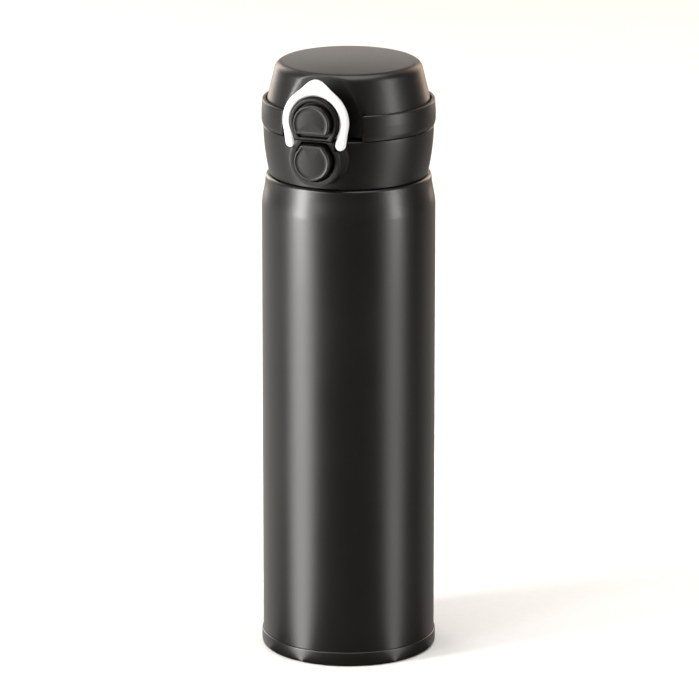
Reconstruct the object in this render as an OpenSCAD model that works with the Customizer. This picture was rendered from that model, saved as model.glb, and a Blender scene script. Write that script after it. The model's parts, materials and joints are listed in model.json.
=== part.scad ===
// One-touch vacuum flask: a double-walled steel bottle, a screw-on head with a mouthpiece, a sprung
// lid, a push button that lets the lid go, and a white ring that locks it shut.
// Millimetres, +Z up. The origin is the centre of the base. The latch is at the front, towards -Y,
// and the lid's hinge is at the back, towards +Y. Distances in front of the axis are called depth.

/* [Bottle] */
// Outer radius of the painted body
body_r = 32.5; // [32:0.5:33.5]
// Height of the shoulder's top edge
body_top = 184.2; // [150:0.1:230]
// How far the shoulder draws in from the body
shoulder_in = 1.5; // [1.2:0.1:1.8]
// Height over which the shoulder draws in
shoulder_h = 11.7; // [9:0.1:14]
// Wall of the outer shell
shell_wall = 0.6; // [0.5:0.05:0.7]
// Wall of the inner liner
liner_wall = 0.5; // [0.4:0.05:0.6]
// Width of the vacuum space
vacuum_gap = 2.8; // [2.4:0.1:3.2]
// Height of the floor inside the liner
liner_floor = 9.5; // [9.2:0.1:12]
// Inside radius of the mouth
mouth_r = 20.4; // [20.2:0.1:20.5]

/* [Base] */
// How far the foot stands out from the body
foot_out = 0.5; // [0.4:0.1:0.8]
// Height of the foot's rim
foot_h = 5.6; // [4.5:0.1:7]

/* [Thread] */
// Rise of the thread in one turn
lead = 6; // [5.6:0.1:6.4]
// How far the thread stands out from the neck
ridge_h = 1.3; // [1:0.1:1.4]

/* [Head] */
// Height of the collar, from the shoulder to the lid
collar_h = 18.8; // [17.8:0.1:19]
// How far the collar flares between its bottom and its top
collar_flare = 2.1; // [1.5:0.1:2.4]
// Height of the band around the lid
band_h = 10.1; // [9.9:0.1:11.2]
// Height of the whole lid
lid_h = 24.6; // [24:0.1:26]
// Radius of the dome's top corner
dome_corner = 3.8; // [2.5:0.1:4.5]
// How far the dome draws in for each millimetre of height
dome_slope = 0.32; // [0.28:0.01:0.34]

/* [Latch] */
// Radius of the push button
button_r = 7.0; // [6.8:0.1:7.1]
// Radius of the housing around the push button
housing_r = 10.1; // [9.9:0.1:10.2]
// Radius of the catch cap above the button
cap_r = 7.1; // [6.9:0.1:7.3]
// Radius of the boss behind the catch cap
boss_r = 9.3; // [9.2:0.05:9.3]
// Width of the dark gap around the button and the cap
latch_gap = 0.8; // [0.7:0.05:0.9]
// Radius of the steel pins of the hinge
hinge_pin_r = 1.2; // [1:0.1:1.4]

/* [Lock ring] */
// Inside radius of the ring
ring_in = 9.6; // [9.6:0.05:9.7]
// Width of the ring's band
ring_w = 3.6; // [3.4:0.1:3.7]
// Thickness of the ring, front to back
ring_t = 3.1; // [2.6:0.1:3.2]

/* [Hidden] */
$fn = 96;

// Gap between pieces that turn or slide past each other
gap = 0.3;
// Running clearance of a pin in its hole
pin_fit = 0.05;

// Bottle
shell_in = body_r - shell_wall;
liner_r = shell_in - vacuum_gap - liner_wall;
neck_r = mouth_r + 1.8;
mouth_z = body_top + 14.7;
thread_z = body_top + 5.3;
thread_turn = 450;
foot_r = body_r + foot_out;

// Head: the lid meets the collar at part_z
part_z = body_top + collar_h;
collar_r = body_r - 0.65;
collar_wall = 2.2;
skirt_r = neck_r + 4.2;
web_z = part_z - 0.4;
plug_r = mouth_r - 0.6;
plug_z = body_top + 2.8;
groove_z = plug_z + 1;
groove_h = 3;
passage_r = 17.2;
spout_r = 13.2;
spout_top = part_z + 10;
lid_z = part_z + 0.1;
lid_top = part_z + lid_h;
band_top = lid_z + band_h - 0.4;
band_in = body_r - 2.5;
dome_r = body_r - 2.15;
dome_wall = 1.8;
dome_crown = 0.55;

// Hinge at the back
hinge_y = body_r + 0.5;
knuckle_r = 3;
lid_knuckle = [3.9, 6.7];
collar_knuckle = [7, 10];

// Latch at the front: depths are measured forward from the axis
button_z = part_z - 6.3;
boss_z = part_z + 8.2;
cap_z = boss_z;
rib_z = part_z + 1.4;
slant = 34;
housing_half = 7.5;
front = body_r + 4.5;
button_front = front + 3.2;
boss_front = front + 1;
cap_front = front + 3.8;
flat_depth = body_r - 6.5;
recess_half = 15.7;
pivot = [body_r + 0.5, part_z - 4];
hub_r = 2.2;
hook_z = part_z + 3.2;
hook_top = part_z + 5;
hook_half = 4;

// Lock ring
ring_depth = [front - 3.3, front - 3.3 + ring_t];
ring_pivot = [front - 1.8, part_z + 2.9];
ring_pin_r = 0.8;
ring_z = boss_z;
foot_eye = [9.7, part_z - 0.1];
foot_eye_r = 1.9;

// ---- helpers -------------------------------------------------------------------------------------

// Points on an arc in a half section, [radius, height]
function arc(c, r, a0, a1, n = 8) = [for (i = [0:n]) let (a = a0 + (a1 - a0)*i/n) c + r*[cos(a), sin(a)]];

function unit(v) = v/norm(v);
function left(v) = [-v[1], v[0]];

// A line moved sideways by t, to the left of its direction
function inset(line, t) = [for (i = [0:len(line) - 1])
    let (a = left(unit(line[max(i, 1)] - line[max(i, 1) - 1])),
        j = min(i, len(line) - 2),
        b = left(unit(line[j + 1] - line[j])))
    let (p = line[i] + t*(a + b)/(1 + a*b)) [max(0, p[0]), p[1]]];

function reverse(list) = [for (i = [len(list) - 1:-1:0]) list[i]];

// A wall of thickness t revolved about the axis, on the left side of a line
module wall(line, t) {
    rotate_extrude() polygon(concat(line, reverse(inset(line, t))));
}

// A ring with a rectangular section
module ring(r_in, r_out, z0, z1) {
    rotate_extrude() translate([r_in, z0]) square([r_out - r_in, z1 - z0]);
}

// Sweeps a half section round the axis on a helix. With fade, its two ends run out to its first point.
module helix(section, rise, turn, steps, fade = 0) {
    n = len(section);
    root = section[0][0];
    function grow(i) = fade == 0 ? 1 : min(1, 0.05 + min(i, steps - i)/fade);
    points = [for (i = [0:steps]) let (a = turn*i/steps) for (s = section)
        let (r = root + (s[0] - root)*grow(i)) [r*cos(a), r*sin(a), s[1] + rise*a/360]];
    sides = [for (i = [0:steps - 1]) for (k = [0:n - 1]) let (a = n*i + k, b = n*i + (k + 1)%n)
        each [[a, b, b + n], [a, b + n, a + n]]];
    ends = [[for (k = [n - 1:-1:0]) k], [for (k = [0:n - 1]) n*steps + k]];
    polyhedron(points, concat(sides, ends), convexity = 8);
}

// Half section of a thread ridge, wide at its root and narrow at its crest
function ridge(root, crest) = [[root, -1.2], [crest, -0.5], [crest, 0.5], [root, 1.2]];

// Half section of a round wire
function wire(coil_r, r) = [for (k = [0:7]) [coil_r + r*cos(45*k + 22.5), r*sin(45*k + 22.5)]];

// Extrudes an outline, drawn as width and height, between two depths in front of the axis
module forward(depth0, depth1) {
    translate([0, -depth0, 0]) rotate([90, 0, 0]) linear_extrude(depth1 - depth0) children();
}

// A box given by its half width, its depths and its heights
module front_box(half, depth0, depth1, z0, z1) {
    translate([-half, -depth1, z0]) cube([2*half, depth1 - depth0, z1 - z0]);
}

// A bar along X at a depth and height
module bar(r, x0, x1, at) {
    translate([x0, -at[0], at[1]]) rotate([0, 90, 0]) cylinder(r = r, h = x1 - x0);
}

// The same on both sides
module both_sides() {
    children();
    mirror([1, 0, 0]) children();
}

// A circle whose top runs up in two slants to a flat
module keystone(r, z, top) {
    tangent = [r*cos(slant), z + r*sin(slant)];
    half = tangent[0] - (top - tangent[1])*tan(slant);
    intersection() {
        translate([0, z]) circle(r);
        translate([-r, z - r]) square([2*r, top - z + r]);
    }
    polygon([[-tangent[0], tangent[1]], [-half, top], [half, top], tangent, [0, z]]);
}

// A circle with a skirt that narrows to a flat bottom
module boss_outline(bottom) {
    lean = 23.5;
    tangent = boss_r*[cos(lean), -sin(lean)] + [0, boss_z];
    half = tangent[0] - (tangent[1] - bottom)*tan(lean);
    intersection() {
        translate([0, boss_z]) circle(boss_r);
        translate([-boss_r, tangent[1]]) square(2*boss_r);
    }
    polygon([[-half, bottom], [half, bottom], tangent, [0, boss_z], [-tangent[0], tangent[1]]]);
}

// A circle with its bottom cut off flat
module cut_disc(r, z, bottom) {
    intersection() {
        translate([0, z]) circle(r);
        translate([-2*r, bottom]) square([4*r, 3*r]);
    }
}

// All of the lid's front, to cut or to keep the flat behind the catch
module front_slab(depth0, depth1) {
    front_box(body_r, depth0, depth1, lid_z, lid_top + 1);
}

// ---- bottle --------------------------------------------------------------------------------------

// Smooth draw-in of the shoulder between 0 and 1
function ease(t) = (1 - cos(180*t))/2;

edge_r = 1.2;
shoulder_r = body_r - shoulder_in;
shell_line = concat(
    [[body_r, 2.6]],
    [for (i = [0:8]) let (t = i/8)
        [body_r - shoulder_in*(0.35*t + 0.65*ease(t)), body_top - shoulder_h + (shoulder_h - edge_r)*t]],
    [for (p = arc([shoulder_r - edge_r, body_top - edge_r], edge_r, 15, 90, 5)) p],
    [for (p = arc([neck_r + 1, body_top + 1], 1, 270, 180, 5)) p],
    [[neck_r, mouth_z - liner_wall]]);

module outer_shell() color([0.13, 0.125, 0.12]) {
    wall(shell_line, shell_wall);
    translate([0, 0, thread_z]) helix(ridge(neck_r - 0.2, neck_r + ridge_h), lead, thread_turn, 40, 3);
}

liner_top = body_top - 13.2;
liner_line = concat(
    [[0, liner_floor]],
    arc([liner_r - 8, liner_floor + 8], 8, 270, 360),
    arc([liner_r - 7, liner_top], 7, 0, 55),
    arc([mouth_r + 5, liner_top + 7*sin(55) + 5*sin(55)
        + (liner_r - 7 + 7*cos(55) - mouth_r - 5 + 5*cos(55))/tan(55)], 5, 235, 180),
    arc([mouth_r + 0.8, mouth_z - 0.8], 0.8, 180, 90, 4),
    [[neck_r, mouth_z]]);

module inner_liner() color([0.72, 0.73, 0.74]) wall(liner_line, -liner_wall);

bottom_line = concat(
    [[0, 5], [6.5, 5]],
    arc([7, 4], 1, 90, 45, 3),
    arc([10.2, 4.2], 1, 225, 270, 3),
    arc([shell_in - 2, 5.2], 2, 270, 360),
    [[shell_in, 8]]);

module outer_bottom() color([0.66, 0.67, 0.68]) wall(bottom_line, shell_wall);

module getter() color([0.45, 0.45, 0.47]) {
    translate([0, 0, 5 + shell_wall]) cylinder(r = 5, h = 1.2);
    translate([0, 0, 6.2 + shell_wall]) cylinder(r1 = 3.6, r2 = 3.2, h = 0.8);
}

module vacuum_seal() color([0.6, 0.55, 0.45]) {
    rotate_extrude() polygon(concat([[0, 5]], [[2.6, 5]], arc([0, 5], 2.6, 0, -60, 6), [[0, 2.75]]));
}

foot_edge = 0.6;
module base_cap() color([0.12, 0.115, 0.11]) rotate_extrude() difference() {
    polygon(concat(
        [[0, 0]],
        arc([foot_r - foot_edge, foot_edge], foot_edge, 270, 360, 4),
        arc([foot_r - foot_out, foot_h - foot_out], foot_out, 0, 90, 4),
        [[body_r, 2.6], [shell_in - 0.6, 2.6], [shell_in - 0.6, 1.6], [0, 1.6]]));
    translate([17, -1]) square([2, 1.4]);
}

// ---- head ----------------------------------------------------------------------------------------

module stopper_gasket() color([0.8, 0.8, 0.78]) {
    seat = plug_r - 1.05;
    body = mouth_r - 0.5;
    lip = mouth_r - 0.1;
    rotate_extrude() polygon([[seat, groove_z + 0.1], [body, groove_z + 0.1], [lip, groove_z + 0.6],
        [body, groove_z + 1.1], [body, groove_z + 1.9], [lip, groove_z + 2.4], [body, groove_z + 2.9],
        [seat, groove_z + 2.9]]);
}

// Inverted cup: a plug wall inside the neck, a skirt with the thread outside it, and a web over both
module stopper_plug() color([0.16, 0.16, 0.16]) {
    skirt_in = neck_r + ridge_h + 0.4;
    difference() {
        ring(passage_r, skirt_r, plug_z - 1.4, web_z);
        ring(plug_r, skirt_in, plug_z - 5, mouth_z + 0.4);
        ring(passage_r - 1, plug_r + 1, plug_z - 5, plug_z);
        ring(plug_r - 1.1, plug_r + 1, groove_z, groove_z + groove_h);
    }
    translate([0, 0, thread_z - lead/2]) helix(
        [for (s = reverse(ridge(skirt_in + 0.25, neck_r + 0.35))) s], lead, 330, 30, 3);
}

module spout() color([0.2, 0.2, 0.2]) {
    flange = 22;
    floor_z = part_z + 2.2;
    difference() {
        rotate_extrude() polygon(concat(
            [[0, floor_z], [10, floor_z], [passage_r - 2, web_z], [passage_r - 2, web_z - 4],
                [passage_r - 0.3, web_z - 4], [passage_r - 0.3, web_z - 2.6], [passage_r - 1, web_z - 2.6],
                [passage_r - 1, web_z - 1], [passage_r - 0.3, web_z - 1], [passage_r - 0.3, web_z],
                [flange, web_z]],
            arc([flange - 0.8, web_z + 0.8], 0.8, 0, 90, 4),
            arc([spout_r + 3, web_z + 4.4], 2.8, 270, 180, 6),
            arc([spout_r - 0.9, spout_top - 0.9], 0.9, 0, 180, 8),
            [[spout_r - 1.8, floor_z + 3], [10, floor_z + 1.6], [0, floor_z + 1.6]]));
        translate([0, -3.5, floor_z - 3]) cylinder(r = 5.5, h = 8);
        translate([0, 7, floor_z - 3]) cylinder(r = 1.6, h = 8);
    }
}

module spout_gasket() color([0.8, 0.8, 0.78]) {
    ring(passage_r - 1, passage_r, web_z - 2.5, web_z - 1.1);
}

// The collar's outside: it flares out and then runs nearly straight up
collar_bottom = body_top + gap/2;
collar_top = part_z - 0.05;
collar_line = [for (i = [0:12]) let (t = i/12)
    [collar_r - collar_flare*pow(1 - t, 1.8), collar_bottom + 0.5 + (collar_top - collar_bottom - 0.8)*t]];

module collar_shell() {
    first = collar_line[0];
    last = collar_line[12];
    difference() {
        rotate_extrude() polygon(concat(
            [[first[0] - collar_wall, collar_bottom], [first[0] - 0.4, collar_bottom]],
            collar_line,
            [[last[0] - 0.3, collar_top], [skirt_r, collar_top], [skirt_r, web_z - 2]],
            [[band_in - 0.4, web_z - 2], [band_in - 0.4, web_z - 4]]));
        bar(knuckle_r + 0.4, -lid_knuckle[1] - 0.15, lid_knuckle[1] + 0.15, [-hinge_y, part_z]);
    }
    difference() {
        ring(dome_r - 3.35, dome_r - 2.55, part_z - 0.5, part_z + 1.3);
        front_slab(0, 60);
        front_box(20, 20, 60, part_z - 2, part_z + 2);
    }
}

// The housing round the push button: round below, straight sides above, flanks that spread behind
module housing_block() {
    back = body_r - 3.5;
    intersection() {
        union() {
            translate([0, -back, button_z]) rotate([90, 0, 0])
                cylinder(r1 = housing_r + 1, r2 = housing_r, h = front - back);
            front_box(housing_half, back, front, button_z, part_z);
        }
        front_box(20, back, front, collar_bottom + 0.3, collar_top);
    }
    front_box(housing_half, front - 3.2, front, part_z - 1, rib_z - 0.05);
}

// Small lugs that the lock ring's feet hook under
module ring_lugs() {
    both_sides() translate([6.8, -(front - 0.4), part_z - 0.8]) cube([1.9, 0.9, 1]);
}

module collar() color([0.13, 0.125, 0.12]) {
    difference() {
        union() {
            collar_shell();
            housing_block();
        }
        forward(pivot[0] + 1.3, front + 1) keystone(button_r + latch_gap, button_z, part_z + 0.7);
        front_box(7, body_r - 2.2, pivot[0] + 1.5, button_z - 6.5, part_z - 1.4);
        forward(body_r - 2.2, pivot[0] + 1.5) intersection() {
            translate([0, button_z]) circle(button_r + 0.4);
            translate([-10, button_z - 10]) square([20, 10]);
        }
        front_box(hook_half + 0.6, body_r - 2.9, front - 2.2, part_z - 2, part_z + 2);
        both_sides() bar(5.3, housing_half + 0.2, 12.9, ring_pivot);
        both_sides() forward(ring_depth[0] - gap, front + 1)
            translate(foot_eye) circle(foot_eye_r + gap);
        bar(0.9, -7.6, 7.6, pivot);
        ring(skirt_r - 10, skirt_r, 0, 300);
    }
    ring_lugs();
    both_sides() difference() {
        union() {
            bar(knuckle_r, collar_knuckle[0], collar_knuckle[1], [-hinge_y, part_z]);
            translate([collar_knuckle[0], 0, part_z]) rotate([90, 0, 90])
                linear_extrude(collar_knuckle[1] - collar_knuckle[0])
                polygon([[hinge_y - 3.4, -7], [hinge_y + 2.1, -2.1], [hinge_y, 0], [hinge_y - 3.4, -gap]]);
        }
        bar(hinge_pin_r, 0, 20, [-hinge_y, part_z]);
    }
}

module hinge_pin() color([0.75, 0.75, 0.77]) {
    bar(hinge_pin_r, -collar_knuckle[1] + 0.2, collar_knuckle[1] - 0.2, [-hinge_y, part_z]);
}

module lid_spring() color([0.7, 0.7, 0.72]) {
    translate([-3, hinge_y, part_z]) rotate([0, 90, 0]) helix(wire(2.1, 0.35), 0.95, 2160, 72);
}

module latch_pin() color([0.75, 0.75, 0.77]) bar(0.9, -7.5, 7.5, pivot);

module latch_spring() color([0.7, 0.7, 0.72]) {
    translate([0, -(body_r - 1.92), button_z - 3.2]) rotate([90, 0, 0]) helix(wire(2.2, 0.25), 0.78, 1080, 36);
}

// ---- latch ---------------------------------------------------------------------------------------

module latch_lever() color([0.18, 0.18, 0.18]) difference() {
    union() {
        bar(hub_r, -6.6, 6.6, pivot);
        front_box(hook_half, pivot[0] - 1.4, pivot[0] + 0.2, pivot[1], hook_top);
        front_box(hook_half, pivot[0] - 2.8, pivot[0] - 1.3, hook_z, hook_top);
        front_box(4.5, pivot[0] + 0.2, pivot[0] + 1.5, button_z - 5.8, pivot[1]);
    }
    bar(0.9 + pin_fit, -10, 10, pivot);
}

module release_button() color([0.13, 0.125, 0.12]) difference() {
    union() {
        forward(pivot[0] + 1.5, button_front - 0.6) keystone(button_r, button_z, part_z + 0.2);
        forward(button_front - 0.6, button_front) keystone(button_r - 0.5, button_z, part_z - 0.3);
    }
    bar(hub_r, -10, 10, pivot);
    translate([0, -(button_front - 0.4), button_z]) rotate([90, 0, 0])
        cylinder(r1 = button_r - 2, r2 = button_r - 1.4, h = 1);
}

// ---- lid -----------------------------------------------------------------------------------------

corner_a = atan(dome_slope);
corner_z = lid_top - dome_crown - dome_corner;
corner_r = dome_r - dome_slope*(corner_z + dome_corner*sin(corner_a) - lid_z - 11.4)
    - dome_corner*cos(corner_a);
dome_line = concat(
    [[dome_r - 0.35, lid_z + 0.9], [dome_r - 0.35, band_top - 1.2], [dome_r + 0.15, band_top - 0.7],
        [dome_r - 0.3, lid_z + 12.6]],
    arc([corner_r, corner_z], dome_corner, corner_a, 90),
    [for (i = [1:6]) let (t = i/6) [corner_r*(1 - t), lid_top - dome_crown*(1 - t)*(1 - t)]]);

module lid_dome() color([0.13, 0.125, 0.12]) {
    difference() {
        wall(dome_line, dome_wall);
        front_slab(flat_depth, 60);
        hinge_relief();
    }
    intersection() {
        rotate_extrude() polygon(concat([[0, lid_z]], [[dome_line[0][0], lid_z]], dome_line));
        front_slab(flat_depth - 1.6, flat_depth);
    }
}

// Room for the collar's knuckles and the spring
module hinge_relief() {
    both_sides() bar(knuckle_r + 0.4, collar_knuckle[0] - 0.15, collar_knuckle[1] + 0.4, [-hinge_y, part_z]);
    bar(knuckle_r + 0.4, -lid_knuckle[0] + 0.1, lid_knuckle[0] - 0.1, [-hinge_y, part_z]);
}

module lid_band() color([0.13, 0.125, 0.12]) {
    difference() {
        rotate_extrude() polygon(concat(
            [[band_in, lid_z], [body_r - 0.6, lid_z], [body_r - 0.3, lid_z + 0.3], [body_r, lid_z + 1.6],
                [body_r, lid_z + 5.4], [body_r - 0.15, lid_z + 7.2]],
            arc([body_r - 0.95, band_top - 0.65], 0.65, 10, 180, 6),
            [[body_r - 1.6, band_top - 1.4], [band_in, band_top - 1.4]]));
        front_box(recess_half, 10, 60, lid_z - 1, lid_top);
        hinge_relief();
        bar(hinge_pin_r + pin_fit, -20, 20, [-hinge_y, part_z]);
    }
    both_sides() difference() {
        union() {
            bar(knuckle_r, lid_knuckle[0], lid_knuckle[1], [-hinge_y, part_z]);
            translate([lid_knuckle[0], 0, part_z]) rotate([90, 0, 90])
                linear_extrude(lid_knuckle[1] - lid_knuckle[0])
                polygon([[hinge_y - 2.8, 0.6], [hinge_y, 0], [hinge_y + 2.6, 1.5], [hinge_y - 0.8, 8],
                    [hinge_y - 2.8, 8]]);
        }
        bar(hinge_pin_r + pin_fit, 0, 20, [-hinge_y, part_z]);
    }
}

module lid_liner() color([0.2, 0.2, 0.2]) {
    ring(0, 24.2, lid_z + 11.5, lid_z + 13);
    ring(23, 24.2, lid_z + 1.4, lid_z + 11.6);
    ring(15.6, 16.8, spout_top + 0.3, lid_z + 11.6);
}

module lid_gasket() color([0.8, 0.8, 0.78]) {
    rotate_extrude() polygon([[0, lid_z + 11.5], [15.5, lid_z + 11.5], [15.5, spout_top + 0.15],
        [spout_r - 3, spout_top + 0.15], [spout_r - 3.4, spout_top + 0.5], [0, spout_top + 0.5]]);
}

module catch_housing() color([0.13, 0.125, 0.12]) difference() {
    union() {
        forward(ring_depth[0] - 0.2, boss_front) boss_outline(rib_z + 0.1);
        forward(flat_depth, ring_depth[0]) intersection() {
            boss_outline(lid_z);
            translate([-7.3, 0]) square([14.6, 400]);
        }
    }
    forward(boss_front - 1.4, boss_front + 1) cut_disc(cap_r + latch_gap, cap_z, rib_z + 1.1);
    difference() {
        front_box(hook_half + 1.2, flat_depth + 1.9, front - 2.3, lid_z - 1, hook_top + 1.3);
        front_box(hook_half + 1.2, flat_depth, pivot[0] - 2.1, lid_z + 1.2, hook_z - 0.3);
    }
    both_sides() bar(2.4, 7.8, 20, ring_pivot - [0.4, 0]);
    bar(ring_pin_r, -20, 20, ring_pivot);
}

module catch_cap() color([0.13, 0.125, 0.12]) {
    forward(boss_front - 1.4, cap_front - 0.6) cut_disc(cap_r, cap_z, rib_z + 2.9);
    intersection() {
        translate([0, -(cap_front - 0.6), cap_z]) rotate([90, 0, 0])
            cylinder(r1 = cap_r, r2 = cap_r - 0.6, h = 0.6);
        forward(cap_front - 0.6, cap_front) cut_disc(cap_r, cap_z, rib_z + 2.9);
    }
}

module ring_pin() color([0.75, 0.75, 0.77]) bar(ring_pin_r, -11, 11, ring_pivot);

// ---- lock ring -----------------------------------------------------------------------------------

// Right half of the ring's outline: thumb tab, outer bow, foot, inner bow
ring_half = concat(
    arc([0, ring_z + 10.5], 5.2, 90, 46, 6),
    arc([0, ring_z + 0.2], ring_in + ring_w, 48, -14, 12),
    arc(foot_eye, foot_eye_r, 5, -180, 10),
    arc([0, ring_z], ring_in, -28, 90, 18));

module lock_ring() color([0.96, 0.96, 0.95]) difference() {
    forward(ring_depth[0], ring_depth[1])
        polygon(concat(ring_half, reverse([for (p = ring_half) [-p[0], p[1]]])));
    bar(ring_pin_r + pin_fit, -11.1, 11.1, ring_pivot);
    front_box(9, front - 1.7, front + 1, part_z - 1.1, part_z + 0.5);
}

outer_shell();
inner_liner();
outer_bottom();
getter();
vacuum_seal();
base_cap();
stopper_gasket();
stopper_plug();
spout();
spout_gasket();
collar();
hinge_pin();
lid_spring();
latch_pin();
latch_spring();
latch_lever();
release_button();
lid_dome();
lid_band();
lid_liner();
lid_gasket();
catch_housing();
catch_cap();
ring_pin();
lock_ring();
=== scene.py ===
"""Vacuum flask: detailed pieces, materials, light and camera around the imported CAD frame.

Shapes are worked out in millimetres and turned into metres when a mesh is made. Heights are z, and
depth is the distance in front of the axis, towards -Y, where the latch is.
"""

import json
import math

import bmesh
import bpy
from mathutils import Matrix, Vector


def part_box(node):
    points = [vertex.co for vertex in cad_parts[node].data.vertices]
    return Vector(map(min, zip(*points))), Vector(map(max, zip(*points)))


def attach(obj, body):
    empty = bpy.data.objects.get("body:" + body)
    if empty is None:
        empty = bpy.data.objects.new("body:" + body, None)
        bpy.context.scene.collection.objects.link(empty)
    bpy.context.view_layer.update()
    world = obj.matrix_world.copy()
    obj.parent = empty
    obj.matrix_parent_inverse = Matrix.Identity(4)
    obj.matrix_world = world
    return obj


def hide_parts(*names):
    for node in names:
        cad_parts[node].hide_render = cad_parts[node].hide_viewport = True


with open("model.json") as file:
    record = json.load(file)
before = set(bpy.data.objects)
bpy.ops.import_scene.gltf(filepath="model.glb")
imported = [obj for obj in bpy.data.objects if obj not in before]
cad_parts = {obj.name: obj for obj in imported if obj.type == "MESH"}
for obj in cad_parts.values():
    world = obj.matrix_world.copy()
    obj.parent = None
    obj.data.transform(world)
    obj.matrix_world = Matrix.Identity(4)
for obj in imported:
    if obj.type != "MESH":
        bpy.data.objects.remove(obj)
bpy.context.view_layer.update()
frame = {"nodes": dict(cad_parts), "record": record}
MM = 0.001


# ---- sizes, read from the frame ------------------------------------------------------------------

def low(node):
    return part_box(node)[0] / MM


def high(node):
    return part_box(node)[1] / MM


def middle(node):
    return (low(node) + high(node)) / 2


BODY_R = high("outer_shell").x
MOUTH_Z = high("inner_liner").z
FOOT_R = high("base_cap").x
FOOT_H = high("base_cap").z
COLLAR_BOTTOM = low("collar").z
BODY_TOP = COLLAR_BOTTOM - 0.15
NECK_R = BODY_R - 10.3
PART_Z = middle("hinge_pin").z
LID_Z = PART_Z + 0.1
LID_TOP = high("lid_dome").z
BAND_TOP = high("lid_band").z
COLLAR_TOP = PART_Z - 0.05

HINGE_Y = middle("hinge_pin").y
HINGE_Z = middle("hinge_pin").z
KNUCKLE_R = high("lid_band").y - HINGE_Y
KNUCKLE_ROOM = KNUCKLE_R + 0.4
LID_KNUCKLE, COLLAR_KNUCKLE = (3.9, 6.7), (7, 10)

HOUSING_FRONT = BODY_R + 4.5
RIB_Z = PART_Z + 1.4
BOSS_BOTTOM = RIB_Z + 0.1
BOSS_FRONT = -low("catch_housing").y
BOSS_R = high("catch_housing").x
BOSS_Z = high("catch_housing").z - BOSS_R
CAP_FRONT = -low("catch_cap").y
CAP_R = high("catch_cap").x
CAP_Z = high("catch_cap").z - CAP_R
BUTTON_FRONT = -low("release_button").y
BUTTON_R = high("release_button").x
BUTTON_Z = low("release_button").z + BUTTON_R
LATCH_GAP = 0.8
HOUSING_R = 10.1
HOUSING_HALF = 7.5
FLAT_DEPTH = BODY_R - 6.5
RECESS_HALF = 15.7

RING_FRONT = -low("lock_ring").y
RING_BACK = -high("lock_ring").y
RING_OUT = high("lock_ring").x
RING_IN = RING_OUT - 3.6
RING_Z = BOSS_Z
RING_FOOT = (9.7, PART_Z - 0.1)
RING_FOOT_R = 1.9
RING_PIVOT = (-middle("ring_pin").y, middle("ring_pin").z)
RING_BOW, RING_TAB_H, RING_TAB_SPREAD = RING_OUT - 0.4, 2.9, 18.6


# ---- drawing helpers -----------------------------------------------------------------------------

def arc(centre, radius, start, end, steps=8):
    """Points on an arc, angles in degrees."""
    points = []
    for i in range(steps + 1):
        a = math.radians(start + (end - start) * i / steps)
        points.append((centre[0] + radius * math.cos(a), centre[1] + radius * math.sin(a)))
    return points


def fillet(corners, closed=True, steps=5):
    """A line through corners (x, y) or (x, y, radius), with every given corner rounded."""
    line = []
    count = len(corners)
    for i, corner in enumerate(corners):
        here = Vector(corner[:2])
        radius = corner[2] if len(corner) > 2 else 0
        if not radius or (not closed and i in (0, count - 1)):
            line.append(tuple(here))
            continue
        back = Vector(corners[i - 1][:2]) - here
        ahead = Vector(corners[(i + 1) % count][:2]) - here
        half = back.angle(ahead) / 2
        reach = min(radius / math.tan(half), 0.49 * back.length, 0.49 * ahead.length)
        start = here + back.normalized() * reach
        end = here + ahead.normalized() * reach
        for k in range(steps + 1):
            t = k / steps
            line.append(tuple((1 - t) ** 2 * start + 2 * t * (1 - t) * here + t * t * end))
    return line


def resample(line, count):
    """The same closed line as count points at equal spacing."""
    points = [Vector(p) for p in line] + [Vector(line[0])]
    runs = [0.0]
    for a, b in zip(points, points[1:]):
        runs.append(runs[-1] + (b - a).length)
    out = []
    k = 0
    for i in range(count):
        at = runs[-1] * i / count
        while runs[k + 1] < at:
            k += 1
        t = (at - runs[k]) / max(runs[k + 1] - runs[k], 1e-9)
        out.append(points[k].lerp(points[k + 1], t))
    return out


def offset(line, distance):
    """A closed line that runs clockwise, moved outwards by distance."""
    count = len(line)
    out = []
    for i, p in enumerate(line):
        along = (line[(i + 1) % count] - line[i - 1]).normalized()
        out.append(p + distance * Vector((-along.y, along.x)))
    return out


def new_object(name, verts, faces):
    """A mesh object from points in millimetres, with its normals outwards and its smooth shading set."""
    mesh = bpy.data.meshes.new(name)
    mesh.from_pydata([Vector(v) * MM for v in verts], [], faces)
    obj = bpy.data.objects.new(name, mesh)
    bpy.context.scene.collection.objects.link(obj)
    tidy_mesh(obj)
    return obj


def tidy_mesh(obj, smooth_angle=38):
    bm = bmesh.new()
    bm.from_mesh(obj.data)
    bmesh.ops.remove_doubles(bm, verts=bm.verts, dist=2e-7)
    bmesh.ops.dissolve_degenerate(bm, edges=bm.edges, dist=1e-7)
    bmesh.ops.recalc_face_normals(bm, faces=bm.faces)
    bm.to_mesh(obj.data)
    bm.free()
    obj.data.shade_smooth()
    obj.data.set_sharp_from_angle(angle=math.radians(smooth_angle))


def strip(loops, closed_across=True, closed_along=False, ends="fan"):
    """Verts and faces of a skin over a row of loops that have the same number of points."""
    n = len(loops[0])
    verts = [p for loop in loops for p in loop]
    faces = []
    rows = len(loops)
    for i in range(rows if closed_along else rows - 1):
        for k in range(n if closed_across else n - 1):
            a, b = n * i + k, n * i + (k + 1) % n
            c, d = n * ((i + 1) % rows) + (k + 1) % n, n * ((i + 1) % rows) + k
            faces.append((a, b, c, d))
    if not closed_along and ends == "fan":
        for row in (0, rows - 1):
            verts.append(sum((Vector(p) for p in loops[row]), Vector()) / n)
            centre = len(verts) - 1
            faces += [(n * row + k, n * row + (k + 1) % n, centre) for k in range(n)]
    elif not closed_along and ends == "face":
        faces += [tuple(range(n)), tuple(range(n * (rows - 1), n * rows))]
    return verts, faces


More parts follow.
